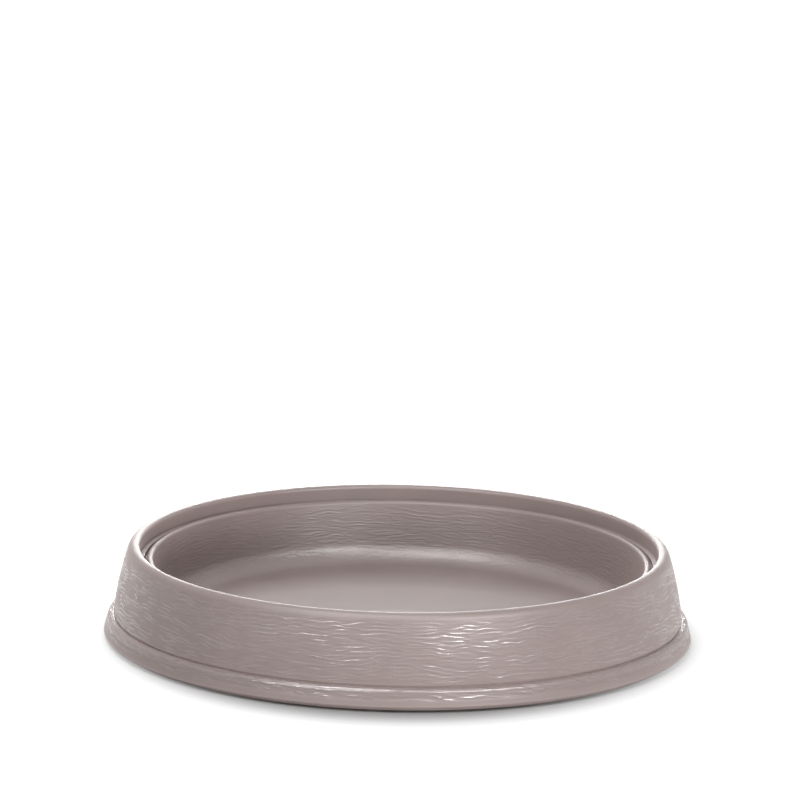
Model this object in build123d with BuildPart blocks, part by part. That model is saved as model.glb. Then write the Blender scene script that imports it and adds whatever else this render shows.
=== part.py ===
from build123d import *

import os
from math import cos, radians, sin, tan

# A round plant saucer in two mouldings: a shell with a conical skirt and a rolled rim,
# and a water dish that lies in the shell's rebate and lifts straight out.
# Millimetres. Z points up, Z = 0 is the floor, and the Z axis is the saucer's own axis.

# Overall size
base_radius = 191.0  # lower corner of the base band, before its round
crown_height = 60.6  # floor to the top of the rim
edge_height = 2.2  # floor to the skirt's lower edge
shell_wall = 3.0

# Base band and the crease above it
edge_round = 1.2  # round at the band's lower edge
band_lean = 2.2  # radius that the band loses from its lower edge to its shoulder
band_height = 12.9  # lower edge to the crease
shoulder_width = 4.3  # how far the band stands out of the skirt
shoulder_drop = 3.4  # height of the shoulder's round
crease_width = 1.0
crease_depth = 0.8

# Skirt and rim
skirt_lean = 13.9  # radius lost from the crease to the rim's highest line
rim_outer_round = 5.6
rim_inner_round = 2.5
rim_turn_angle = 17.0  # degrees above level where the rim's round meets the skirt

# Collar, ledge and the seat of the dish
ledge_drop = 10.0  # top of the rim to the ledge
ledge_width = 3.1
ledge_round = 0.5
seat_depth = 3.0  # ledge to the seat under the dish's lip
seat_wall = 3.4  # height of the ring that forms the seat

# Flange under the shell, with the bead along its edge
flange_wall = 4.0
flange_width = 33.0
bead_inset = 3.4  # base radius to the bead's outer side
bead_width = 3.0
bead_drop = 1.6  # how far the bead hangs below the flange

# Gussets between the flange and the seat
gusset_count = 12
gusset_wall = 2.5
gusset_inset = 0.8  # inner edge of a gusset behind the seat's bore

# Foot pads
pad_count = 6
pad_radius = 10.0
pad_seat_depth = 1.7
pad_play = 0.3  # gap round a pad in its socket
pad_chamfer = 0.8
pad_circle_inset = 19.0  # base radius to the pads' circle

# Lip and wall of the dish
lip_gap = 1.4  # ledge's edge to the lip
lip_width = 4.4
lip_height = 4.4  # seat to the lip's crest
dish_wall = 2.5
wall_lean_angle = 13.0  # degrees off upright
lift_play = 0.5  # gap between the dish's wall and the bore of the seat

# Floor of the dish
dish_depth = 38.4  # lip's crest to the floor
foot_round = 13.0  # round between the wall and the floor
floor_wall = 3.0

# Ribs under the dish
rib_count = 12
rib_wall = 2.2
rib_drop = 4.0  # floor's underside to the ribs' lower edge
hub_radius = 30.0
rib_end_gap = 16.0  # ribs' outer ends to the foot of the wall
rib_end_lean = 6.0  # how much shorter a rib is along its lower edge

# Places on the shell's section, radius and height
band_top_radius = base_radius - band_lean
skirt_foot_radius = band_top_radius - shoulder_width
crown_radius = skirt_foot_radius - skirt_lean
collar_radius = crown_radius - rim_inner_round
ledge_edge_radius = collar_radius - ledge_width
crease_height = edge_height + band_height
ledge_height = crown_height - ledge_drop
seat_height = ledge_height - seat_depth
seat_underside = seat_height - seat_wall
bead_outer_radius = base_radius - bead_inset
flange_top = edge_height + flange_wall
flange_inner_radius = base_radius - flange_width

# Places on the dish's section
lip_outer_radius = ledge_edge_radius - lip_gap
lip_round = lip_width / 2
lip_radius = lip_outer_radius - lip_round
lip_centre_height = seat_height + lip_height - lip_round
wall_slope = tan(radians(wall_lean_angle))
wall_across = dish_wall / cos(radians(wall_lean_angle))
wall_top_radius = lip_radius - lip_round * cos(radians(wall_lean_angle))
wall_top_height = lip_centre_height + lip_round * sin(radians(wall_lean_angle))
floor_height = seat_height + lip_height - dish_depth
wall_foot_radius = wall_top_radius - (wall_top_height - floor_height) * wall_slope
floor_underside = floor_height - floor_wall
outer_wall_radius = wall_top_radius + wall_across - (wall_top_height - seat_height) * wall_slope
outer_foot_radius = outer_wall_radius - (seat_height - floor_underside) * wall_slope
seat_bore_radius = outer_wall_radius + lift_play

os.makedirs("parts", exist_ok=True)

# Outer shell: one turned section, open underneath
with BuildPart() as outer_shell:
    with BuildSketch(Plane.XZ):
        with BuildLine():
            rim = CenterArc(
                (crown_radius, crown_height - rim_outer_round),
                rim_outer_round,
                rim_turn_angle,
                90 - rim_turn_angle,
            )
            skirt_foot = (skirt_foot_radius, crease_height + crease_width)
            skirt = TangentArc(rim @ 0, skirt_foot, tangent=(rim % 0) * -1)
            crease_root = (skirt_foot_radius - crease_depth, crease_height)
            shoulder_start = (skirt_foot_radius, crease_height)
            shoulder_end = (band_top_radius, crease_height - shoulder_drop)
            Polyline(skirt_foot, crease_root, shoulder_start)
            EllipticalCenterArc(
                (skirt_foot_radius, crease_height - shoulder_drop),
                shoulder_width,
                shoulder_drop,
                start_angle=0,
                arc_size=90,
            )
            FilletPolyline(
                shoulder_end,
                (base_radius, edge_height),
                (bead_outer_radius, edge_height),
                radius=edge_round,
            )
            FilletPolyline(
                (bead_outer_radius, edge_height),
                (bead_outer_radius, edge_height - bead_drop),
                (bead_outer_radius - bead_width, edge_height - bead_drop),
                (bead_outer_radius - bead_width, edge_height),
                radius=bead_drop / 2,
            )
            skirt_share = ((skirt @ 0).Y - seat_underside) / ((skirt @ 0).Y - (skirt @ 1).Y)
            inner_skirt_top = (skirt @ skirt_share).X - shell_wall
            inner_skirt_foot = skirt_foot_radius - shell_wall
            Polyline(
                (bead_outer_radius - bead_width, edge_height),
                (flange_inner_radius, edge_height),
                (flange_inner_radius, flange_top),
                (band_top_radius - shell_wall, flange_top),
                (inner_skirt_foot, crease_height),
                (inner_skirt_top, seat_underside),
                (seat_bore_radius, seat_underside),
                (seat_bore_radius, seat_height),
                (ledge_edge_radius, seat_height),
            )
            FilletPolyline(
                (ledge_edge_radius, seat_height),
                (ledge_edge_radius, ledge_height),
                (collar_radius, ledge_height),
                (collar_radius, crown_height - rim_inner_round),
                radius=ledge_round,
            )
            CenterArc(
                (crown_radius, crown_height - rim_inner_round),
                rim_inner_round,
                90,
                90,
            )
        make_face()
    revolve(axis=Axis.Z)

    # Gussets, from the flange up to the seat
    gusset_inner_radius = seat_bore_radius + gusset_inset
    with BuildSketch(Plane.XZ) as gusset_face:
        with BuildLine():
            Polyline(
                (gusset_inner_radius, flange_top),
                (band_top_radius - shell_wall / 2, flange_top),
                (inner_skirt_foot + shell_wall / 2, crease_height),
                (inner_skirt_top + shell_wall / 2, seat_underside),
                (gusset_inner_radius, seat_underside),
                close=True,
            )
        make_face()
    gusset = extrude(gusset_face.sketch, gusset_wall / 2, both=True, mode=Mode.PRIVATE)
    with PolarLocations(0, gusset_count):
        add(gusset)

    # Sockets of the foot pads
    pad_circle_radius = base_radius - pad_circle_inset
    with Locations(Location((0, 0, edge_height))):
        with PolarLocations(pad_circle_radius, pad_count):
            Cylinder(
                pad_radius + pad_play,
                pad_seat_depth,
                align=(Align.CENTER, Align.CENTER, Align.MIN),
                mode=Mode.SUBTRACT,
            )
outer_shell.part.label = "outer_shell"
export_step(outer_shell.part, "parts/outer_shell.step")

# Inner dish: a turned section with ribs underneath
with BuildPart() as inner_dish:
    with BuildSketch(Plane.XZ):
        with BuildLine():
            CenterArc((lip_radius, lip_centre_height), lip_round, 0, 180 - wall_lean_angle)
            FilletPolyline(
                (wall_top_radius, wall_top_height),
                (wall_foot_radius, floor_height),
                (0, floor_height),
                (0, floor_underside),
                (outer_foot_radius, floor_underside),
                (outer_wall_radius, seat_height),
                (lip_outer_radius, seat_height),
                (lip_outer_radius, lip_centre_height),
                radius=[foot_round, 0, 0, foot_round + dish_wall, 0, 0],
            )
        make_face()
    revolve(axis=Axis.Z)

    # Radial ribs, and a hub that joins their inner ends
    rib_foot = floor_underside - rib_drop
    rib_end_radius = outer_foot_radius - rib_end_gap
    floor_middle = floor_underside + floor_wall / 2
    with BuildSketch(Plane.XZ) as rib_face:
        with BuildLine():
            Polyline(
                (hub_radius, rib_foot),
                (rib_end_radius - rib_end_lean, rib_foot),
                (rib_end_radius, floor_middle),
                (hub_radius, floor_middle),
                close=True,
            )
        make_face()
    rib = extrude(rib_face.sketch, rib_wall / 2, both=True, mode=Mode.PRIVATE)
    with PolarLocations(0, rib_count):
        add(rib)
    with BuildSketch(Plane.XY.offset(rib_foot)):
        Circle(hub_radius + rib_wall / 2)
        Circle(hub_radius - rib_wall / 2, mode=Mode.SUBTRACT)
    extrude(amount=floor_middle - rib_foot)
inner_dish.part.label = "inner_dish"
export_step(inner_dish.part, "parts/inner_dish.step")

# Foot pads, one in each socket, standing on the floor
pad_height = edge_height + pad_seat_depth
for number, place in enumerate(PolarLocations(pad_circle_radius, pad_count), start=1):
    centre = place.position
    with BuildPart() as foot_pad:
        with BuildSketch(Plane.XY):
            with Locations((centre.X, centre.Y)):
                Circle(pad_radius)
        extrude(amount=pad_height)
        chamfer(foot_pad.faces().sort_by(Axis.Z)[0].edges(), pad_chamfer)
    foot_pad.part.label = f"foot_pad_{number}"
    export_step(foot_pad.part, f"parts/foot_pad_{number}.step")
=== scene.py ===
import math

import bmesh
import bpy
import numpy as np
from mathutils import Matrix, Vector


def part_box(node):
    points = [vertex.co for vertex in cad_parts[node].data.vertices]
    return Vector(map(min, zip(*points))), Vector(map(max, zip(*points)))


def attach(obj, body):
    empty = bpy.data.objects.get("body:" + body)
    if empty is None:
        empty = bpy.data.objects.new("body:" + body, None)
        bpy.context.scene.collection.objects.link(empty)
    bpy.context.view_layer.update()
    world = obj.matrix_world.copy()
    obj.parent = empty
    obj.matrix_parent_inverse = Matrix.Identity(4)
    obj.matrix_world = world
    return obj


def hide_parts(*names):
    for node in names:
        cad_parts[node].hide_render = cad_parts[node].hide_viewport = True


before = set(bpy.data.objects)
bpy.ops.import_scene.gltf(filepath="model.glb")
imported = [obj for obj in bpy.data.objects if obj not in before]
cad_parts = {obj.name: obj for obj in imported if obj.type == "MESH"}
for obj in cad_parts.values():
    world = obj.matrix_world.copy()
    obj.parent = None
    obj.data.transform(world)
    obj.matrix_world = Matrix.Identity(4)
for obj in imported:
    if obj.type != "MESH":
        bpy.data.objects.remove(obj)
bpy.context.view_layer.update()        # the imported meshes, moved to their places, with every other imported object removed
print("frame loaded:", ", ".join(sorted(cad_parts)))

mm = 0.001        # the pieces are worked out in millimetres, the scene is in metres
fullTurn = 2 * math.pi
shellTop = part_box("outer_shell")[1].z / mm        # top of the rim above the floor


# Sections: points are (radius, height) pairs

def arcPoints(centre, radii, startAngle, endAngle, count):
    # centre plus the two radii times cosine and sine, from one angle to the other, in degrees
    angles = np.radians(np.linspace(startAngle, endAngle, count))
    return np.stack([centre[0] + radii[0] * np.cos(angles), centre[1] + radii[1] * np.sin(angles)], 1)


def tangentArcPoints(start, direction, end, count):
    # the circle that leaves start along direction and passes through end: its centre lies on the normal
    # at start, at the chord squared over twice the chord's share along that normal
    start, end, direction = (np.asarray(p, float) for p in (start, end, direction))
    normal = np.array([direction[1], -direction[0]]) / np.hypot(*direction)
    chord = end - start
    centre = start + normal * (chord @ chord) / (2 * (chord @ normal))
    return turnPoints(centre, start, end, count)


def turnPoints(centre, start, end, count):
    # slides evenly from start to end round the centre: sine-weighted mix of the two arms
    armStart, armEnd = np.asarray(start) - centre, np.asarray(end) - centre
    sweep = math.acos(np.clip(armStart @ armEnd / (np.hypot(*armStart) * np.hypot(*armEnd)), -1, 1))
    share = np.linspace(0, 1, count)[:, None]
    mixed = np.sin((1 - share) * sweep) * armStart + np.sin(share * sweep) * armEnd
    return centre + mixed / math.sin(sweep)


def roundedRun(corners, rounds, roundRows):
    # straight runs through the corners, each inner corner replaced by its tangent arc
    corners = [np.asarray(c, float) for c in corners]
    parts = [corners[0][None]]
    for before, corner, after, radius in zip(corners, corners[1:], corners[2:], rounds):
        toBefore = (before - corner) / np.hypot(*(before - corner))
        toAfter = (after - corner) / np.hypot(*(after - corner))
        halfAngle = math.acos(np.clip(toBefore @ toAfter, -1, 1)) / 2
        reach = radius / math.tan(halfAngle)
        bisector = (toBefore + toAfter) / np.hypot(*(toBefore + toAfter))
        centre = corner + bisector * radius / math.sin(halfAngle)
        parts.append(turnPoints(centre, corner + toBefore * reach, corner + toAfter * reach, roundRows))
    parts.append(corners[-1][None])
    return np.concatenate(parts)


def pathLength(points):
    return float(np.hypot(*np.diff(points, axis=0).T).sum())


def joined(stretches):
    # each stretch starts where the one before it ends, so all but the first leave out their first point
    return np.concatenate([points[min(i, 1):] for i, points in enumerate(stretches)])


def stretchEnds(stretches):
    # the distance along the section at which each named stretch ends
    points = list(stretches.values())
    return {name: pathLength(joined(points[:i + 1])) for i, name in enumerate(stretches)}


def spacedPlaces(ends, rows):
    # one column of distances along the section: each stretch's own number of rows, evenly spaced from its
    # start, and one more at the very end
    starts = [0.0] + list(ends.values())
    spans = [np.linspace(start, ends[name], rows[name], endpoint=False) for start, name in zip(starts, ends)]
    return np.concatenate(spans + [starts[-1:]])[:, None]


def alongPath(points, places):
    # radius, height and outward normal at the given distances along a densely drawn path
    steps = np.hypot(*np.diff(points, axis=0).T)
    length = np.concatenate([[0], np.cumsum(steps)])
    slope = np.gradient(points, length, axis=0)
    slope /= np.hypot(*slope.T)[:, None]
    table = np.column_stack([points, -slope[:, 1], slope[:, 0]])
    return [np.interp(places, length, column) for column in table.T]


def fadeIn(places, start, end):
    # smooth step from zero at start to one at end
    share = np.clip((places - start) / (end - start), 0, 1)
    return share * share * (3 - 2 * share)


def fromEnds(ends, fades):
    # each fade place is a stretch's name and a distance past the end of that stretch
    return [ends[stretch] + distance for stretch, distance in fades]


def zone(places, ends, fades):
    # fades in over the first two of four places, stays at one, and fades out over the last two
    inStart, inEnd, outStart, outEnd = fromEnds(ends, fades)
    return fadeIn(places, inStart, inEnd) * (1 - fadeIn(places, outStart, outEnd))


# Meshes

def turnRings(radius, height, steps):
    # each row's radius and height turned about Z: x = r cos a, y = r sin a
    angles = fullTurn * np.arange(steps) / steps
    radius = np.broadcast_to(np.asarray(radius, float).reshape(len(radius), -1), (len(radius), steps))
    height = np.broadcast_to(np.asarray(height, float).reshape(len(height), -1), (len(height), steps))
    return np.stack([radius * np.cos(angles), radius * np.sin(angles), height], 2)


def oneRing(radius, height, steps):
    return turnRings([radius], [height], steps)[0]


def stitch(ring, nextRing):
    # faces between two neighbouring rings of point numbers; where one ring has half the steps of the other,
    # or is one point, the faces fan out
    ringTurned, nextTurned = np.roll(ring, -1), np.roll(nextRing, -1)
    if len(ring) == len(nextRing):
        return np.stack([ring, nextRing, nextTurned, ringTurned], 1).tolist()
    if len(ring) == 1:
        return np.stack([np.full(len(nextRing), ring[0]), nextRing, nextTurned], 1).tolist()
    if len(nextRing) == 1:
        return np.stack([ring, np.full(len(ring), nextRing[0]), ringTurned], 1).tolist()
    if len(ring) == 2 * len(nextRing):
        first, middle, last = ring[0::2], ring[1::2], np.roll(ring[0::2], -1)
        fans = [(first, nextRing, middle), (middle, nextRing, nextTurned), (middle, nextTurned, last)]
    else:
        first, middle, last = nextRing[0::2], nextRing[1::2], np.roll(nextRing[0::2], -1)
        fans = [(ring, first, middle), (ring, middle, ringTurned), (ringTurned, middle, last)]
    return [face for fan in fans for face in np.stack(fan, 1).tolist()]


def ringFaces(counts, closed):
    # faces between rings with these step counts, one after another and, if closed, from the last to the first
    starts = np.concatenate([[0], np.cumsum(counts)])
    numbers = [np.arange(starts[i], starts[i + 1]) for i in range(len(counts))]
    pairs = list(zip(numbers, numbers[1:]))
    if closed:
        pairs.append((numbers[-1], numbers[0]))
    return [face for ring, nextRing in pairs for face in stitch(ring, nextRing)]


def ringMesh(name, rings, closed):
    # rings of points, each (steps, 3) in millimetres
    return pieceFrom(name, np.concatenate(rings), ringFaces([len(ring) for ring in rings], closed))


def pieceFrom(name, points, faces, smooth=True):
    mesh = bpy.data.meshes.new(name)
    mesh.from_pydata((np.asarray(points) * mm).tolist(), [], faces)
    mesh.polygons.foreach_set("use_smooth", np.full(len(mesh.polygons), smooth))
    mesh.update()
    piece = bpy.data.objects.new(name, mesh)
    bpy.context.scene.collection.objects.link(piece)
    return piece


def plates(name, outline, thickness, angles):
    # an outline of (radius, height) points made a plate of that thickness, one at each angle in degrees:
    # radius along the outward direction, height along Z, half the thickness to either side
    outline = np.asarray(outline, float)
    count, turns = len(outline), np.radians(angles)[:, None]
    outward = np.stack([np.cos(turns), np.sin(turns), 0 * turns], 2)
    sideways = np.stack([-np.sin(turns), np.cos(turns), 0 * turns], 2)
    flat = outline[None, :, :1] * outward + outline[None, :, 1:] * np.array([0, 0, 1])
    points = np.concatenate([flat - sideways * thickness / 2, flat + sideways * thickness / 2], 1)
    near = np.arange(count)
    sides = np.stack([near, np.roll(near, -1), np.roll(near, -1) + count, near + count], 1).tolist()
    one = [near[::-1].tolist(), (near + count).tolist()] + sides
    faces = [[corner + i * 2 * count for corner in face] for i in range(len(angles)) for face in one]
    piece = pieceFrom(name, points.reshape(-1, 3), faces, smooth=False)
    fixNormals(piece)
    return piece


def turnedPlugs(name, section, steps, places):
    # a section from the axis out and back to the axis, turned about Z and moved to each place
    turned = zip(turnRings(section[:, 0], section[:, 1], steps), section[:, 0])
    rings = [ring[:1] if radius == 0 else ring for ring, radius in turned]
    count = sum(len(ring) for ring in rings)
    faces = ringFaces([len(ring) for ring in rings], closed=False)
    allFaces = [[corner + i * count for corner in face] for i in range(len(places)) for face in faces]
    return pieceFrom(name, np.concatenate([np.concatenate(rings) + place for place in places]), allFaces)


def evenAngles(count):
    return [360 * i / count for i in range(count)]


def fixNormals(piece):
    mesh = bmesh.new()
    mesh.from_mesh(piece.data)
    bmesh.ops.recalc_face_normals(mesh, faces=mesh.faces)
    mesh.to_mesh(piece.data)
    mesh.free()


def applyModifiers(piece):
    depsgraph = bpy.context.evaluated_depsgraph_get()
    finished = bpy.data.meshes.new_from_object(piece.evaluated_get(depsgraph), depsgraph=depsgraph)
    piece.modifiers.clear()
    piece.data = finished


def combine(piece, other, operation):
    # joins the other solid to the piece, or cuts it from the piece, and removes it
    step = piece.modifiers.new(operation.lower(), "BOOLEAN")
    step.object, step.operation, step.solver = other, operation, "MANIFOLD"
    applyModifiers(piece)
    bpy.data.objects.remove(other)


def setZones(piece, ringShape, before, after, zones):
    # one value a point for the materials to read: a zone's own values on the visible rings, zero on the
    # points before them, and the zone's second value on the points after them
    for name, (values, valueAfter) in zones.items():
        visible = np.broadcast_to(values, ringShape).ravel()
        allValues = np.concatenate([np.zeros(before), visible, np.full(after, valueAfter)])
        layer = piece.data.attributes.new(name, "FLOAT", "POINT")
        layer.data.foreach_set("value", allValues.astype(np.float32))


def dress(piece, material):
    piece.data.materials.clear()        # a Boolean leaves an empty slot
    piece.data.materials.append(material)


def triangleCount(piece):
    # a face with n corners makes n less two triangles
    return len(piece.data.loops) - 2 * len(piece.data.polygons)


# The wavy bark relief

relief = dict(
    ridgePitch=5.2,        # two ridges stand in each of these
    pitchSpread=0.28,        # how much the pitch varies, as a share of it
    ridgeLength=8.5,
    ridgeWidth=0.44,
    ridgeHeight=0.185,
    swellHeight=0.05,        # the ground's slow rise and fall, under the ridges
    warpHeight=0.5,        # how far the ridges wander up and down
    warpPitch=9.0,
    warpLength=11.0,
    patchPitch=7.0,        # size of the patches where the ridges fade
    patchLength=9.0,
    patchMiddle=0.62,        # a ridge's usual height, as a share, and how far the patches change it
    patchSwing=0.38,
    patchLimits=(0.12, 1.25),
    leastSlopeShare=0.6,        # flatter noise counts as this share of the mean slope
    slopeFade=(0.15, 0.6),        # shares of the mean slope between which the ridges come in
    shineGain=1.6,        # how far the rubbed shine spreads down a ridge's sides
    shineFade=(0.35, 0.9),        # height shares between which a ridge is rubbed
    rowGap=0.34,        # mean distance between the mesh rows
    endPitches=4,        # pitches of noise past the last row, so that the first row isn't repeated there
    lengthSpread=2.2,
)


def waveField(seed, rows, steps, stepGap, pitch, spread, length):
    # white noise, kept in frequency space near one pitch across the rows and to long waves along them, then
    # scaled to a spread of one; a pitch spread of one keeps all waves longer than the pitch
    rowGap = relief["rowGap"]
    random = np.random.default_rng(seed)
    paddedRows = rows + int(relief["endPitches"] * pitch / rowGap)
    waves = np.fft.rfft2(random.standard_normal((paddedRows, steps)))
    across = np.abs(np.fft.fftfreq(paddedRows, rowGap))[:, None] * pitch
    along = np.fft.rfftfreq(steps, stepGap)[None, :] * length
    centre = 1.0 if spread < 1 else 0.0
    waves *= np.exp(-((across - centre) / spread) ** 2 / 2 - (relief["lengthSpread"] * along) ** 2 / 2)
    field = np.fft.irfft2(waves, (paddedRows, steps))[:rows]
    return field / field.std()


def barkRelief(seed, rows, steps, radius):
    # ridges stand where a banded noise crosses zero. The distance to a ridge is the noise over its own slope,
    # and its height is exp(-(distance / width) squared), faded where the slope is small and in patches, on a
    # low swell of the same noise. The second array is how far each point slides along the wall, so that the
    # mesh rows run with the ridges, and the third is where the ridges are rubbed smooth
    r = relief
    stepGap = fullTurn * radius / steps
    bands = waveField(seed, rows, steps, stepGap, r["ridgePitch"], r["pitchSpread"], r["ridgeLength"])
    patches = waveField(seed + 1, rows, steps, stepGap, r["patchPitch"], 1.0, r["patchLength"])
    wander = waveField(seed + 2, rows, steps, stepGap, r["warpPitch"], 1.0, r["warpLength"])
    slopeAlong = (np.roll(bands, -1, 1) - np.roll(bands, 1, 1)) / 2 / stepGap
    slope = np.hypot(np.gradient(bands, r["rowGap"], axis=0), slopeAlong)
    distance = bands / np.maximum(slope, r["leastSlopeShare"] * slope.mean())
    ridges = np.exp(-(distance / r["ridgeWidth"]) ** 2) * fadeIn(slope / slope.mean(), *r["slopeFade"])
    strength = np.clip(r["patchMiddle"] + r["patchSwing"] * patches, *r["patchLimits"])
    height = r["ridgeHeight"] * ridges * strength + r["swellHeight"] * np.tanh(bands) / 2
    rubbed = np.clip(r["shineGain"] * ridges, 0, 1) * fadeIn(strength, *r["shineFade"])
    return height - height.mean(), wander * r["warpHeight"] / 2, rubbed


# Outer shell

shell = dict(
    baseRadius=190.98,
    edgeHeight=2.2,
    wall=3.0,
    edgeRound=1.2,
    underEdge=1.2,        # flat strip under the band, up to where its hidden side begins
    bandLean=2.2,
    bandHeight=12.9,
    shoulderWidth=4.3,
    shoulderDrop=3.4,
    creaseWidth=1.0,
    creaseDepth=0.8,
    creaseRound=0.12,
    skirtLean=13.9,
    rimOuterRound=5.6,
    rimInnerRound=2.5,
    rimTurnAngle=17.0,
    collarFootRound=0.4,
    ledgeDrop=10.0,
    ledgeWidth=3.1,
    ledgeRound=0.5,
    seatDepth=3.0,
    seatWall=3.4,
    seatBoreRadius=161.7,
    flangeWall=4.0,
    flangeWidth=33.0,
    beadInset=3.4,
    beadWidth=3.0,
    beadDrop=1.6,
    beadRound=0.7,
    smallRound=0.5,        # on the hidden edges
    sharpRound=0.2,        # where the bead meets the flange, and at the seat's inner corner
    gussetCount=12,
    gussetWall=2.5,
    gussetInset=0.8,
    gussetSink=0.5,        # how far a gusset goes into the flange and the seat
    steps=512,        # mesh steps round the axis, halved on the collar and halved again below the seat
    drawn=dict(rim=160, skirt=900, crease=8, shoulder=160, band=40),        # points that draw each stretch
    rows=dict(rim=12, skirt=114, crease=7, shoulder=13, band=22),        # mesh rows on it
    hiddenRows=4,
    rimInnerRows=9,
    levelSlack=0.01,
    reliefSeed=21,
    bandReliefShare=1.4,        # height of the relief on the band, against the skirt's
    bandSink=0.6,        # the band is let in by this share of the highest ridge, and stays inside its box
    # places are given as the name of a stretch and the distance past its end
    skirtRelief=(("rim", -1.0), ("rim", 3.5), ("skirt", -1.4), ("skirt", -0.2)),
    bandRelief=(("crease", 0.2), ("crease", 1.6), ("shoulder", 2.5), ("shoulder", 5.5)),
    ridgeSlide=(("rim", -0.5), ("rim", 4.0), ("skirt", -4.0), ("skirt", -0.3)),
    shoulderGloss=(("crease", -0.2), ("crease", 0.4), ("shoulder", 0.5), ("shoulder", 2.5)),
    shoulderGlossShare=0.6,
    edgeGloss=(("band", -4.4), ("band", -3.4)),
    rimMatt=(("rim", -0.5), ("rim", 3.0)),
)


def shellPlaces():
    # the section's main radii and heights, from the dictionary's sizes
    s, p = shell, {}
    p["bandTopRadius"] = s["baseRadius"] - s["bandLean"]
    p["bandEndRadius"] = s["baseRadius"] - s["edgeRound"] - s["underEdge"]
    p["skirtFootRadius"] = p["bandTopRadius"] - s["shoulderWidth"]
    p["crownRadius"] = p["skirtFootRadius"] - s["skirtLean"]
    p["collarRadius"] = p["crownRadius"] - s["rimInnerRound"]
    p["ledgeEdgeRadius"] = p["collarRadius"] - s["ledgeWidth"]
    p["creaseHeight"] = s["edgeHeight"] + s["bandHeight"]
    p["skirtFootHeight"] = p["creaseHeight"] + s["creaseWidth"]
    p["ledgeHeight"] = shellTop - s["ledgeDrop"]
    p["seatHeight"] = p["ledgeHeight"] - s["seatDepth"]
    p["seatUnderside"] = p["seatHeight"] - s["seatWall"]
    p["beadOuterRadius"] = s["baseRadius"] - s["beadInset"]
    p["beadInnerRadius"] = p["beadOuterRadius"] - s["beadWidth"]
    p["beadFoot"] = s["edgeHeight"] - s["beadDrop"]
    p["flangeTop"] = s["edgeHeight"] + s["flangeWall"]
    p["flangeInnerRadius"] = s["baseRadius"] - s["flangeWidth"]
    p["innerSkirtFoot"] = p["skirtFootRadius"] - s["wall"]
    return p


shellAt = shellPlaces()


def shellStretches():
    # the visible section, densely drawn: rim, skirt, crease, shoulder, and the band round its lower edge
    s, p, drawn = shell, shellAt, shell["drawn"]
    rim = arcPoints((p["crownRadius"], shellTop - s["rimOuterRound"]), (s["rimOuterRound"],) * 2,
                    90, s["rimTurnAngle"], drawn["rim"])
    turn = math.radians(s["rimTurnAngle"])
    skirtFoot = (p["skirtFootRadius"], p["skirtFootHeight"])
    skirt = tangentArcPoints(rim[-1], (math.sin(turn), -math.cos(turn)), skirtFoot, drawn["skirt"])
    creaseRoot = (p["skirtFootRadius"] - s["creaseDepth"], p["creaseHeight"])
    shoulderTop = (p["skirtFootRadius"], p["creaseHeight"])
    crease = roundedRun([skirtFoot, creaseRoot, shoulderTop], [s["creaseRound"]], drawn["crease"])
    shoulder = arcPoints((p["skirtFootRadius"], p["creaseHeight"] - s["shoulderDrop"]),
                         (s["shoulderWidth"], s["shoulderDrop"]), 90, 0, drawn["shoulder"])
    lowerEdge = (s["baseRadius"], s["edgeHeight"])
    bandEnd = (p["bandEndRadius"], s["edgeHeight"])
    band = roundedRun([shoulder[-1], lowerEdge, bandEnd], [s["edgeRound"]], drawn["band"])
    return dict(rim=rim, skirt=skirt, crease=crease, shoulder=shoulder, band=band)


def innerSkirtTop(stretches):
    # the skirt's own radius level with the seat's underside, less the wall
    rimFoot, skirt = stretches["rim"][-1], stretches["skirt"]
    share = (rimFoot[1] - shellAt["seatUnderside"]) / (rimFoot[1] - shellAt["skirtFootHeight"])
    return skirt[int(share * (len(skirt) - 1))][0] - shell["wall"]


def shellHidden(innerTop):
    # the hidden section: from the band's underside round the bead, flange, seat and collar to the rim's top
    s, p = shell, shellAt
    corners = [
        (p["bandEndRadius"], s["edgeHeight"]),
        (p["beadOuterRadius"], s["edgeHeight"]),
        (p["beadOuterRadius"], p["beadFoot"]),
        (p["beadInnerRadius"], p["beadFoot"]),
        (p["beadInnerRadius"], s["edgeHeight"]),
        (p["flangeInnerRadius"], s["edgeHeight"]),
        (p["flangeInnerRadius"], p["flangeTop"]),
        (p["bandTopRadius"] - s["wall"], p["flangeTop"]),
        (p["innerSkirtFoot"], p["creaseHeight"]),
        (innerTop, p["seatUnderside"]),
        (s["seatBoreRadius"], p["seatUnderside"]),
        (s["seatBoreRadius"], p["seatHeight"]),
        (p["ledgeEdgeRadius"], p["seatHeight"]),
        (p["ledgeEdgeRadius"], p["ledgeHeight"]),
        (p["collarRadius"], p["ledgeHeight"]),
        (p["collarRadius"], shellTop - s["rimInnerRound"]),
    ]
    beadRounds = [s["sharpRound"], s["beadRound"], s["beadRound"], s["sharpRound"]]
    flangeToSeat = corners[5:12]
    collarRounds = [s["sharpRound"], s["ledgeRound"], s["collarFootRound"]]
    rounds = beadRounds + [s["smallRound"]] * len(flangeToSeat) + collarRounds
    rimInner = arcPoints((p["crownRadius"], shellTop - s["rimInnerRound"]), (s["rimInnerRound"],) * 2,
                         180, 90, s["rimInnerRows"])
    return np.concatenate([roundedRun(corners, rounds, s["hiddenRows"])[1:], rimInner[1:-1]])


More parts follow.
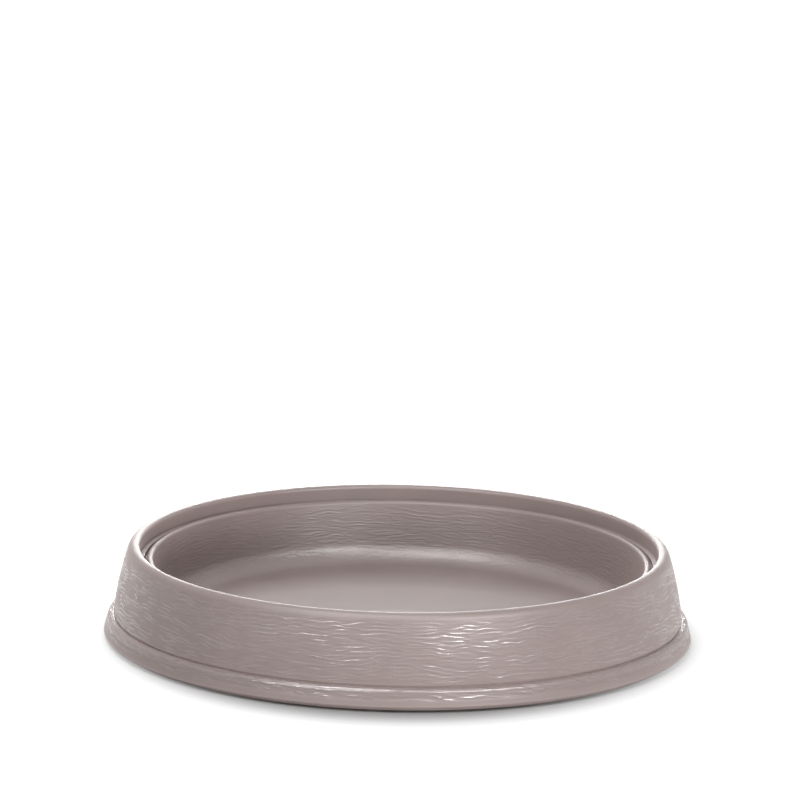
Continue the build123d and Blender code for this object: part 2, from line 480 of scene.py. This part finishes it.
def buildShell():
    s, steps = shell, shell["steps"]
    stretches = shellStretches()
    ends = stretchEnds(stretches)
    places = spacedPlaces(ends, s["rows"])
    mask = zone(places, ends, s["skirtRelief"])
    mask += s["bandReliefShare"] * zone(places, ends, s["bandRelief"])
    slide = zone(places, ends, s["ridgeSlide"])
    height, wander, shine = barkRelief(s["reliefSeed"], len(places), steps, shellAt["crownRadius"])
    radius, level, outR, outZ = alongPath(joined(stretches.values()), places + wander * slide)
    lift = height * mask
    lift -= np.where(places > ends["crease"], lift.max() * mask * s["bandSink"], 0)
    visible = turnRings(radius + lift * outR, level + lift * outZ, steps)

    innerTop = innerSkirtTop(stretches)
    hidden = shellHidden(innerTop)
    firstAboveSeat = np.flatnonzero(hidden[:, 1] >= shellAt["seatHeight"] - s["levelSlack"])[0]
    hiddenSteps = np.where(np.arange(len(hidden)) >= firstAboveSeat, steps // 2, steps // 4)
    hiddenSteps[0] = steps // 2        # a ring loses or gains half its steps at a time
    inside = [oneRing(*point, count) for point, count in zip(hidden, hiddenSteps)]
    piece = ringMesh("shell_moulding", list(visible) + inside, closed=True)

    onRound = s["shoulderGlossShare"] * zone(places, ends, s["shoulderGloss"])
    onRound += fadeIn(places, *fromEnds(ends, s["edgeGloss"]))
    onRim = 1 - fadeIn(places, *fromEnds(ends, s["rimMatt"]))
    setZones(piece, visible.shape[:2], 0, sum(hiddenSteps), dict(
        ridgeZone=(mask, 0.0),
        # the relief's height, which the resin colour also reads for its painted groove shade
        ridgeHeight=(lift / relief["ridgeHeight"], 0.0),
        ridgeShine=(shine * mask, 0.0),
        roundZone=(onRound, 0.0),
        edgeZone=(onRim, 1.0),
    ))
    combine(piece, gussetPlates(innerTop), "UNION")
    combine(piece, socketCutters(), "DIFFERENCE")
    return piece


def gussetPlates(innerTop):
    s, p = shell, shellAt
    inner, inWall = s["seatBoreRadius"] + s["gussetInset"], s["wall"] / 2
    foot, top = p["flangeTop"] - s["gussetSink"], p["seatUnderside"] + s["gussetSink"]
    outline = [(inner, foot), (p["bandTopRadius"] - inWall, foot),
               (p["innerSkirtFoot"] + inWall, p["creaseHeight"]), (innerTop + inWall, top), (inner, top)]
    return plates("gussets", outline, s["gussetWall"], evenAngles(s["gussetCount"]))


# Foot pads

pads = dict(
    count=6,
    radius=10.0,
    circleInset=19.0,
    seatDepth=1.7,
    play=0.3,
    topRound=0.4,
    footRound=0.8,
    roundRows=6,
    grooveRadii=(6.2, 3.2),
    grooveWidth=0.9,
    grooveDepth=0.5,
    grooveRows=9,
    steps=64,
    cutterReach=1.0,        # how far a socket's cutter starts below the flange
)


def padPlace(angle):
    a, radius = math.radians(angle), shell["baseRadius"] - pads["circleInset"]
    return np.array([radius * math.cos(a), radius * math.sin(a), 0])


def socketCutters():
    top, foot = shell["edgeHeight"] + pads["seatDepth"], shell["edgeHeight"] - pads["cutterReach"]
    radius = pads["radius"] + pads["play"]
    section = np.array([(0, top), (radius, top), (radius, foot), (0, foot)])
    places = [padPlace(angle) for angle in evenAngles(pads["count"])]
    return turnedPlugs("sockets", section, pads["steps"], places)


def buildPad(number, angle):
    # from the top's centre over the side to the underside's centre, with two ring grooves underneath
    top, radius = shell["edgeHeight"] + pads["seatDepth"], pads["radius"]
    corners = [(0, top), (radius, top), (radius, 0), (0, 0)]
    outside = roundedRun(corners, [pads["topRound"], pads["footRound"]], pads["roundRows"])
    halfGroove = (pads["grooveWidth"] / 2, pads["grooveDepth"])
    grooves = [arcPoints((middle, 0), halfGroove, 0, 180, pads["grooveRows"])
               for middle in pads["grooveRadii"]]
    section = np.concatenate([outside[:-1]] + grooves + [outside[-1:]])
    return turnedPlugs(f"pad_{number}", section, pads["steps"], [padPlace(angle)])


# Inner dish

dish = dict(
    lipGap=1.4,
    lipWidth=4.4,
    lipHeight=4.4,
    lipUnderRound=0.3,
    wall=2.5,
    wallLeanAngle=13.0,
    depth=38.4,
    footRound=13.0,
    floorWall=3.0,
    ribCount=12,
    ribWall=2.2,
    ribDrop=4.0,
    ribEndGap=16.0,
    ribEndLean=6.0,
    hubRadius=30.0,
    hubFootRound=0.5,
    hubTopRound=0.05,        # hidden inside the floor
    hubRoundRows=3,
    hubSteps=128,
    hubStartDrop=1.0,        # the hub's outline starts on its outer side, this far below its top
    steps=512,        # mesh steps round the axis, halved outside
    floorStrip=22.0,        # width of the floor's outer part, which has its own mesh rows
    drawn=dict(foot=300, lip=160),        # points that draw the rounds
    rows=dict(floor=10, foot=36, wall=84, lip=14),        # mesh rows on each stretch
    floorRings=((0, 1), (2, 64), (12, 64), (28, 128), (60, 256), (92, 512)),        # radius and steps
    underRadius=60.0,
    underRings=((28, 128), (12, 64), (0, 1)),
    underRoundRows=9,
    reliefSeed=41,
    ridgeShare=0.70,        # height of the ridges on the wall, against those of the shell
    # places are given as the name of a stretch and the distance past its end
    wallRelief=(("floor", 0.0), ("foot", 1.0), ("wall", -2.0), ("wall", -0.4)),
    ridgeSlide=(("floor", 4.0), ("foot", 2.0), ("wall", -3.0), ("wall", -0.3)),
    footGloss=(("floor", -1.5), ("floor", 1.5), ("foot", -3.0), ("foot", 1.0)),
    lipMatt=(("wall", -1.0), ("wall", 0.5)),
)


def dishPlaces():
    # the section's corners, on the shell's seat
    d, p, seatHeight = dish, {}, shellAt["seatHeight"]
    lean, lipRound = math.radians(d["wallLeanAngle"]), d["lipWidth"] / 2
    lipOuter = shellAt["ledgeEdgeRadius"] - d["lipGap"]
    lipRadius, lipHeight = lipOuter - lipRound, seatHeight + d["lipHeight"] - lipRound
    topRadius, topHeight = lipRadius - lipRound * math.cos(lean), lipHeight + lipRound * math.sin(lean)
    floorHeight = seatHeight + d["lipHeight"] - d["depth"]
    floorUnder = floorHeight - d["floorWall"]
    outerRadius = topRadius + d["wall"] / math.cos(lean) - (topHeight - seatHeight) * math.tan(lean)
    p["lipCentre"] = (lipRadius, lipHeight)
    p["lipFoot"] = (lipOuter, seatHeight)
    p["wallTop"] = (topRadius, topHeight)
    p["wallFoot"] = (topRadius - (topHeight - floorHeight) * math.tan(lean), floorHeight)
    p["outerWall"] = (outerRadius, seatHeight)
    p["outerFoot"] = (outerRadius - (seatHeight - floorUnder) * math.tan(lean), floorUnder)
    p["ribFoot"] = floorUnder - d["ribDrop"]
    p["inFloor"] = floorUnder + d["floorWall"] / 2
    return p


dishAt = dishPlaces()


def dishStretches():
    # the visible section, densely drawn: the floor's outer strip, the round at the wall's foot, wall and lip
    d, p = dish, dishAt
    wallFoot, lipRound = p["wallFoot"], d["lipWidth"] / 2
    stripStart = (wallFoot[0] - d["footRound"] - d["floorStrip"], wallFoot[1])
    inside = roundedRun([stripStart, wallFoot, p["wallTop"]], [d["footRound"]], d["drawn"]["foot"])
    lip = arcPoints(p["lipCentre"], (lipRound,) * 2, 180 - d["wallLeanAngle"], 0, d["drawn"]["lip"])
    return dict(floor=inside[:2], foot=inside[1:-1], wall=inside[-2:], lip=lip)


def buildDish():
    d, p, steps = dish, dishAt, dish["steps"]
    stretches = dishStretches()
    ends = stretchEnds(stretches)
    places = spacedPlaces(ends, d["rows"])
    mask = zone(places, ends, d["wallRelief"])
    slide = zone(places, ends, d["ridgeSlide"])
    height, wander, shine = barkRelief(d["reliefSeed"], len(places), steps, p["wallFoot"][0])
    radius, level, outR, outZ = alongPath(joined(stretches.values()), places + wander * slide)
    lift = height * mask * d["ridgeShare"]
    visible = turnRings(radius + lift * outR, level + lift * outZ, steps)

    floorHeight, floorUnder = p["wallFoot"][1], p["outerFoot"][1]
    middle = [oneRing(radius, floorHeight, count) for radius, count in d["floorRings"]]
    corners = [stretches["lip"][-1], p["lipFoot"], p["outerWall"], p["outerFoot"],
               (d["underRadius"], floorUnder)]
    rounds = [d["lipUnderRound"], d["lipUnderRound"], d["footRound"] + d["wall"]]
    beneath = [oneRing(*point, steps // 2) for point in roundedRun(corners, rounds, d["underRoundRows"])[1:]]
    beneath += [oneRing(radius, floorUnder, count) for radius, count in d["underRings"]]
    piece = ringMesh("dish_moulding", middle + list(visible) + beneath, closed=False)

    onLip = fadeIn(places, *fromEnds(ends, d["lipMatt"]))
    before, after = sum(len(ring) for ring in middle), sum(len(ring) for ring in beneath)
    setZones(piece, visible.shape[:2], before, after, dict(
        ridgeZone=(mask, 0.0),
        # the relief's height, which the resin colour also reads for its painted groove shade
        ridgeHeight=(lift / relief["ridgeHeight"], 0.0),
        ridgeShine=(shine * mask, 0.0),
        roundZone=(zone(places, ends, d["footGloss"]), 0.0),
        edgeZone=(onLip, 1.0),
    ))
    combine(piece, hubRing(), "UNION")
    combine(piece, ribPlates(), "UNION")
    return piece


def hubRing():
    d, foot, top = dish, dishAt["ribFoot"], dishAt["inFloor"]
    outer, inner = d["hubRadius"] + d["ribWall"] / 2, d["hubRadius"] - d["ribWall"] / 2
    start = (outer, top - d["hubStartDrop"])
    rounds = [d["hubTopRound"], d["hubTopRound"], d["hubFootRound"], d["hubFootRound"]]
    outline = roundedRun([start, (outer, top), (inner, top), (inner, foot), (outer, foot), start],
                         rounds, d["hubRoundRows"])
    section = outline[:-1][::-1]        # closed, and turned so that its faces point outwards
    hub = ringMesh("hub", list(turnRings(section[:, 0], section[:, 1], d["hubSteps"])), closed=True)
    fixNormals(hub)
    return hub


def ribPlates():
    d, foot, top = dish, dishAt["ribFoot"], dishAt["inFloor"]
    ribEnd = dishAt["outerFoot"][0] - d["ribEndGap"]
    outline = [(d["hubRadius"], foot), (ribEnd - d["ribEndLean"], foot), (ribEnd, top), (d["hubRadius"], top)]
    return plates("ribs", outline, d["ribWall"], evenAngles(d["ribCount"]))


# Shader nodes

def newMaterial(name):
    material = bpy.data.materials.new(name)
    material.use_nodes = True
    tree = material.node_tree
    return material, tree, tree.nodes["Principled BSDF"]


def addNode(tree, kind, inputs=None, **settings):
    # an input that is another node's socket is linked, any other is a value
    node = tree.nodes.new("ShaderNode" + kind)
    for key, value in settings.items():
        setattr(node, key, value)
    for key, value in (inputs or {}).items():
        if isinstance(value, bpy.types.NodeSocket):
            tree.links.new(value, node.inputs[key])
        else:
            node.inputs[key].default_value = value
    return node


def mathNode(tree, operation, *values):
    return addNode(tree, "Math", dict(enumerate(values)), operation=operation).outputs[0]


def vectorNode(tree, operation, *values):
    return addNode(tree, "VectorMath", dict(enumerate(values)), operation=operation).outputs


def noise(tree, vector, scale, detail, roughness=0.5):
    inputs = {"Vector": vector, "Scale": scale, "Detail": detail, "Roughness": roughness}
    return addNode(tree, "TexNoise", inputs).outputs


def rescale(tree, value, fromRange, toRange, **settings):
    # moves the value from one range to another, and stops it at the ends
    inputs = {"Value": value, "From Min": fromRange[0], "From Max": fromRange[1],
              "To Min": toRange[0], "To Max": toRange[1]}
    return addNode(tree, "MapRange", inputs, **settings).outputs[0]


def mix(tree, share, first, second):
    return addNode(tree, "Mix", {0: share, 2: first, 3: second}).outputs[0]


def bump(tree, height, strength, distance, **normal):
    inputs = {"Height": height, "Strength": strength, "Distance": distance, **normal}
    return addNode(tree, "Bump", inputs).outputs[0]


def pieceValue(tree, name):
    return addNode(tree, "Attribute", attribute_name=name).outputs["Fac"]


def linear(color):
    # display values to light values: the standard curve
    return tuple(c / 12.92 if c <= 0.04045 else ((c + 0.055) / 1.055) ** 2.4 for c in color) + (1.0,)


# Resin

resin = dict(
    color=(0.655, 0.592, 0.580),
    # painted shade: this darker colour in the relief's grooves stands in for the shade that falls there
    grooveShadeColor=(0.603, 0.540, 0.527),
    grooveShadeRange=(-0.7, 0.7),        # relief heights, in ridges, from the painted groove shade to the full colour
    mottleAmount=0.10,
    mottleScale=22.0,
    mottleDetail=4.0,
    mottleRoughness=0.6,
    noiseRange=(0.3, 0.7),        # what a noise keeps to for the most part
    roughness=0.46,
    roughnessSpread=0.10,
    edgeRoughness=0.47,        # the shell's rim and the dish's lip
    specular=0.5,
    roundSpecular=0.9,
    grainScale=900.0,
    grainDetail=3.0,
    grainStrength=0.10,
    grainBump=0.0004,
    lineLength=60.0,        # noise cells per metre along the fine ridges
    linePitch=400.0,        # and across them
    lineDetail=1.2,
    lineRoughness=0.4,
    lineWidth=0.16,        # in cells across
    lineSample=0.1,        # how far up the slope is measured, in cells
    lineSlopeFloor=0.035,
    lineWarp=0.0012,
    lineWarpScale=45.0,
    patchScale=95.0,
    patchRange=(0.33, 0.62),
)

shellLook = dict(
    ridgeRoughness=0.14,        # the ridges are rubbed smoother than the ground between them
    ridgeSpecular=1.0,
    lineBump=0.00006,
    roundRoughness=0.30,        # the band's shoulder and edge
)

dishLook = dict(
    ridgeRoughness=0.40,        # duller than the shell's
    ridgeSpecular=0.5,
    lineBump=0.00007,
    roundRoughness=0.46,        # the foot of the wall
    floorRoughness=0.38,
    pitScale=420.0,        # fine grain on the foot of the wall
    pitBump=0.00025,
)


def fineRidges(tree, spot):
    # level lines where a noise stretched along the wall crosses its middle, broken up in patches. The
    # distance to a line, in cells, is the noise's difference from its middle over its slope upwards
    r = resin
    warp = noise(tree, spot, r["lineWarpScale"], 1.0)["Color"]
    warped = vectorNode(tree, "MULTIPLY_ADD", warp, (0.0, 0.0, r["lineWarp"]), spot)[0]
    scale = (r["lineLength"], r["lineLength"], r["linePitch"])
    stretched = vectorNode(tree, "MULTIPLY", warped, scale)[0]
    above = vectorNode(tree, "ADD", stretched, (0.0, 0.0, r["lineSample"]))[0]
    strands, strandsAbove = (noise(tree, place, 1.0, r["lineDetail"], r["lineRoughness"])[0]
                             for place in (stretched, above))
    rise = mathNode(tree, "ABSOLUTE", mathNode(tree, "SUBTRACT", strandsAbove, strands))
    steepest = mathNode(tree, "MAXIMUM", rise, r["lineSlopeFloor"])
    offMiddle = mathNode(tree, "ABSOLUTE", mathNode(tree, "SUBTRACT", strands, 0.5))
    samples = mathNode(tree, "DIVIDE", offMiddle, steepest)
    distance = mathNode(tree, "MULTIPLY", samples, r["lineSample"])
    line = rescale(tree, distance, (0.0, r["lineWidth"]), (1.0, 0.0), interpolation_type="SMOOTHSTEP")
    patch = rescale(tree, noise(tree, spot, r["patchScale"], 0.0)[0], r["patchRange"], (0.0, 1.0))
    return mathNode(tree, "MULTIPLY", line, patch)


def resinColorWithGrooveShade(tree, spot):
    # painted shade: the grooves are darkened and the ridge tops lightened by their relief height, as light
    # and shade would fall on them; all of it is also mottled a little at random
    mottle = noise(tree, spot, resin["mottleScale"], resin["mottleDetail"], resin["mottleRoughness"])[0]
    reliefShade = rescale(tree, pieceValue(tree, "ridgeHeight"), resin["grooveShadeRange"], (0.0, 1.0))
    base = addNode(tree, "Mix", {0: reliefShade, 6: linear(resin["grooveShadeColor"]), 7: linear(resin["color"])},
                   data_type="RGBA").outputs[2]
    half = resin["mottleAmount"] / 2
    shade = rescale(tree, mottle, resin["noiseRange"], (1 - half, 1 + half))
    return addNode(tree, "VectorMath", {0: base, "Scale": shade}, operation="SCALE").outputs[0]


def resinMaterial(name, look):
    material, tree, shader = newMaterial(name)
    spot = addNode(tree, "TexCoord").outputs["Object"]
    onWall, onRound, onEdge, rubbed = (pieceValue(tree, value)
                                       for value in ("ridgeZone", "roundZone", "edgeZone", "ridgeShine"))
    grain = noise(tree, spot, resin["grainScale"], resin["grainDetail"])[0]
    half = resin["roughnessSpread"] / 2
    rough = rescale(tree, grain, resin["noiseRange"], (resin["roughness"] - half, resin["roughness"] + half))
    surface = bump(tree, grain, resin["grainStrength"], resin["grainBump"])
    if "pitBump" in look:
        pits = mathNode(tree, "MULTIPLY", noise(tree, spot, look["pitScale"], 1.0)[0], onRound)
        surface = bump(tree, pits, 1.0, look["pitBump"], Normal=surface)
        rough = rescale(tree, onWall, (0.0, 1.0), (look["floorRoughness"], rough))
    rough = mix(tree, onEdge, rough, resin["edgeRoughness"])
    rough = mix(tree, onRound, rough, look["roundRoughness"])
    mirror = mix(tree, onRound, resin["specular"], resin["roundSpecular"])
    ridges = mathNode(tree, "MULTIPLY", fineRidges(tree, spot), onWall)
    finish = {
        "Base Color": resinColorWithGrooveShade(tree, spot),
        "Roughness": mix(tree, rubbed, rough, look["ridgeRoughness"]),
        "Specular IOR Level": mix(tree, rubbed, mirror, look["ridgeSpecular"]),
        "Normal": bump(tree, ridges, 1.0, look["lineBump"], Normal=surface),
    }
    for socket, value in finish.items():
        tree.links.new(value, shader.inputs[socket])
    return material


# Rubber

rubber = dict(
    shades=(0.012, 0.026),        # light values, from the dark to the pale spots of the grain
    grainScale=1400.0,
    grainDetail=2.0,
    grainStrength=0.25,
    grainBump=0.0003,
    roughness=0.8,
)


def rubberMaterial():
    material, tree, shader = newMaterial("matt rubber")
    spot = addNode(tree, "TexCoord").outputs["Object"]
    grain = noise(tree, spot, rubber["grainScale"], rubber["grainDetail"])[0]
    shade = rescale(tree, grain, (0.0, 1.0), rubber["shades"])
    color = addNode(tree, "CombineColor", {"Red": shade, "Green": shade, "Blue": shade}).outputs[0]
    tree.links.new(color, shader.inputs["Base Color"])
    tree.links.new(bump(tree, grain, rubber["grainStrength"], rubber["grainBump"]), shader.inputs["Normal"])
    shader.inputs["Roughness"].default_value = rubber["roughness"]
    return material


# Build, dress and hang every piece on its body

shellPiece = buildShell()
dress(shellPiece, resinMaterial("shell resin", shellLook))
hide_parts("outer_shell")
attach(shellPiece, "shell")
print("shell built:", triangleCount(shellPiece), "triangles")

dishPiece = buildDish()
dress(dishPiece, resinMaterial("dish resin", dishLook))
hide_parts("inner_dish")
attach(dishPiece, "dish")
print("dish built:", triangleCount(dishPiece), "triangles")

padRubber = rubberMaterial()
for number, angle in enumerate(evenAngles(pads["count"]), start=1):
    padPiece = buildPad(number, angle)
    dress(padPiece, padRubber)
    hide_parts(f"foot_pad_{number}")
    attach(padPiece, "shell")
print("pads built:", pads["count"])


# Camera

camera = dict(
    distance=7.6,        # metres, to the point that it stands over
    elevation=14.47,        # degrees, here and in the next three
    pitch=13.32,
    yaw=-0.009,
    roll=1.064,
    focalPixels=11696.0,
    framePixels=800.0,
    sensorWidth=36.0,
    aimHeight=0.0019,
)


def buildCamera():
    # stands in front of the object at its distance and elevation, looks down by its pitch, leans by its roll
    c = camera
    elevation, pitch, yaw, roll = (math.radians(c[k]) for k in ("elevation", "pitch", "yaw", "roll"))
    back, up = c["distance"] * math.cos(elevation), c["distance"] * math.sin(elevation)
    place = Vector((0, -back, up + c["aimHeight"]))
    ahead = Vector((math.sin(yaw) * math.cos(pitch), math.cos(yaw) * math.cos(pitch), -math.sin(pitch)))
    level = ahead.cross(Vector((0, 0, 1))).normalized()
    upward = level.cross(ahead)
    right = math.cos(roll) * level + math.sin(roll) * upward
    top = -math.sin(roll) * level + math.cos(roll) * upward
    data = bpy.data.cameras.new("photo camera")
    data.sensor_width = c["sensorWidth"]
    data.lens = c["focalPixels"] * c["sensorWidth"] / c["framePixels"]
    view = bpy.data.objects.new("photo camera", data)
    view.matrix_world = Matrix.Translation(place) @ Matrix((right, top, -ahead)).transposed().to_4x4()
    bpy.context.scene.collection.objects.link(view)
    bpy.context.scene.camera = view


# White studio

studio = dict(
    floorSize=14.0,        # metres, as all sizes here
    floorColor=(0.70, 0.70, 0.70),
    floorGlow=(0.0, 0.78, 1.10),        # added for the camera: at the object, past its shadow, and far away; the low glow next to the object paints shadow there, on top of the rendered shadow
    paintedShadowStretch=(1.15, 1.0, 1.0),        # the glow begins nearer to the object at its sides, so the painted shadow is shorter there
    floorGlowReach=((0.187, 0.234), (0.26, 0.60)),        # from the middle: where it grows to the next value
    worldStrength=0.02,
    glossShare=1.0,        # how much of the white surroundings the surfaces mirror
    lamps=(
        # name, azimuth to the right of the camera, elevation, distance, width, height, power, and whether it
        # lights the matt part of a surface and is mirrored in it
        ("overhead left", -40, 68, 1.5, 0.6, 0.6, 8.5, True, True),
        ("overhead sheen", -22, 66, 1.5, 1.3, 0.5, 11.0, False, True),
        ("overhead back", 180, 68, 1.5, 0.6, 0.6, 1.6, True, True),
        ("side left", -90, 38, 1.8, 0.8, 0.5, 1.4, True, False),
        ("low front", 0, 4, 1.8, 0.8, 0.2, 6.0, True, False),
        ("low front right", 30, 4, 1.8, 0.8, 0.2, 12.4, True, False),
        ("low right", 85, 4, 1.8, 0.8, 0.2, 3.0, True, False),
        ("low back right", 120, 4, 1.8, 0.8, 0.2, 9.8, True, False),
        ("low back left", -120, 4, 1.8, 0.8, 0.2, 7.6, True, False),
        ("far back right", 145, 4, 1.8, 0.8, 0.2, 3.0, True, False),
        ("far back left", -145, 4, 1.8, 0.8, 0.2, 6.0, True, False),
        ("low back", 180, 10, 1.8, 0.8, 0.5, 15.5, False, True),
        ("back", 180, 34, 1.8, 0.8, 0.5, 5.6, True, True),
        ("back left", -150, 38, 1.8, 0.8, 0.5, 5.0, True, False),
        ("right glints", 33, 33, 1.8, 0.95, 0.46, 31.0, False, True),
        ("left glints", -34, 33, 1.8, 1.1, 0.3, 16.0, False, True),
    ),
)

white = (1.0, 1.0, 1.0, 1.0)


def whiteSeen(tree):
    # one where the camera looks, the gloss share where a surface mirrors, zero for the light that falls
    rays = addNode(tree, "LightPath").outputs
    return mathNode(tree, "MULTIPLY_ADD", rays["Is Glossy Ray"], studio["glossShare"], rays["Is Camera Ray"])


def floorMaterial():
    # matt ground that takes the shadow, with a glow that grows in two smooth steps away from the object; the
    # first step is painted shadow, darkening the floor next to the object beyond what the lamps do
    material = bpy.data.materials.new("studio floor")
    material.use_nodes = True
    tree = material.node_tree
    tree.nodes.clear()
    spot = addNode(tree, "TexCoord").outputs["Object"]
    wide = vectorNode(tree, "MULTIPLY", spot, studio["paintedShadowStretch"])[0]
    away = vectorNode(tree, "LENGTH", wide)["Value"]
    low, middle, high = studio["floorGlow"]
    nearReach, farReach = studio["floorGlowReach"]
    # painted shadow: no glow at the object, growing in past the shadow
    near = rescale(tree, away, nearReach, (low, middle), interpolation_type="SMOOTHSTEP")
    far = rescale(tree, away, farReach, (0.0, high - middle), interpolation_type="SMOOTHSTEP")
    strength = mathNode(tree, "MULTIPLY", whiteSeen(tree), mathNode(tree, "ADD", near, far))
    matt = addNode(tree, "BsdfDiffuse", {"Color": linear(studio["floorColor"])}).outputs[0]
    glow = addNode(tree, "Emission", {"Color": white, "Strength": strength}).outputs[0]
    both = addNode(tree, "AddShader", {0: matt, 1: glow}).outputs[0]
    addNode(tree, "OutputMaterial", {"Surface": both})
    return material


def buildFloor():
    half = studio["floorSize"] / 2 / mm
    corners = [(-half, -half, 0), (half, -half, 0), (half, half, 0), (-half, half, 0)]
    floor = pieceFrom("studio_floor", corners, [(0, 1, 2, 3)], smooth=False)
    floor.data.materials.append(floorMaterial())


def buildWorld():
    world = bpy.data.worlds.new("studio")
    bpy.context.scene.world = world
    world.use_nodes = True
    tree = world.node_tree
    tree.nodes.clear()
    strength = mathNode(tree, "MAXIMUM", whiteSeen(tree), studio["worldStrength"])
    backdrop = addNode(tree, "Background", {"Color": white, "Strength": strength}).outputs[0]
    addNode(tree, "OutputWorld", {"Surface": backdrop})


def buildLamps():
    for name, azimuth, elevation, distance, width, height, power, matt, mirrored in studio["lamps"]:
        a, e = math.radians(azimuth), math.radians(elevation)
        place = Vector((math.sin(a) * math.cos(e), -math.cos(a) * math.cos(e), math.sin(e))) * distance
        data = bpy.data.lights.new(name, "AREA")
        data.shape, data.size, data.size_y, data.energy = "RECTANGLE", width, height, power
        lamp = bpy.data.objects.new(name, data)
        lamp.matrix_world = Matrix.Translation(place) @ place.to_track_quat("Z", "Y").to_matrix().to_4x4()
        lamp.visible_camera, lamp.visible_diffuse, lamp.visible_glossy = False, matt, mirrored
        bpy.context.scene.collection.objects.link(lamp)


buildCamera()
buildFloor()
buildWorld()
buildLamps()
bpy.context.scene.view_settings.view_transform = "Standard"
print("studio built")
